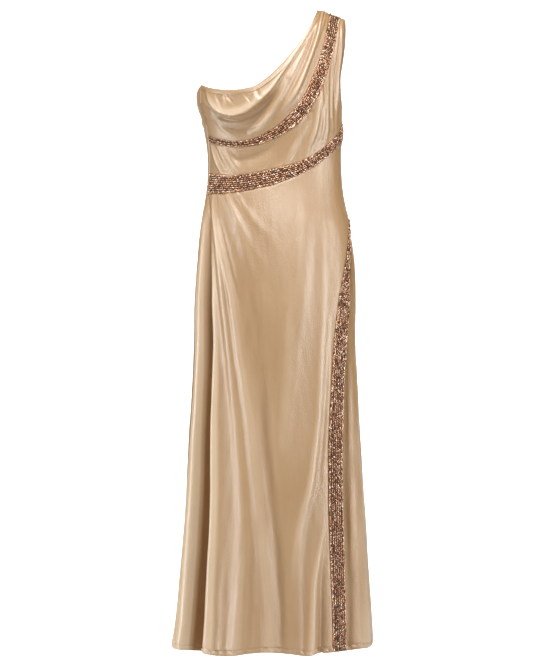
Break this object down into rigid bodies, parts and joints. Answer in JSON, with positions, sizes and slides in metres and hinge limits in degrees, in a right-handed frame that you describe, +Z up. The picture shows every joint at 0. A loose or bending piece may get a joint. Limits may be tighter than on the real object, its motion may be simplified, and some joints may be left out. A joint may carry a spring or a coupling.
{
  "type": "asymmetric evening gown",
  "caption": "Floor-length asymmetric satin evening gown, filled out with no wearer, with a draped cowl neckline, beaded bands across the bodice and a beaded trim down its side slit.",
  "frame": {"origin": "middle of the shoulder strap's underside, at the shoulder seam, where it rests on the wearer", "axes": "+Z up, -Y out of the gown's front, +X towards the covered shoulder's side"},
  "size_m": [0.4663, 0.3461, 1.4584],
  "materials": {
    "satin": "glossy satin weave",
    "beadwork": "metallic sequins and small beads in rows on cloth"
  },
  "bodies": {
    "root": {"neck_band": "satin", "cowl_drape": "satin", "upper_band": "beadwork", "bodice_front": "satin", "waist_band": "beadwork", "skirt_front": "satin", "slit_trim": "beadwork", "skirt_back": "satin", "bodice_back": "satin"}
  },
  "joints": []
}
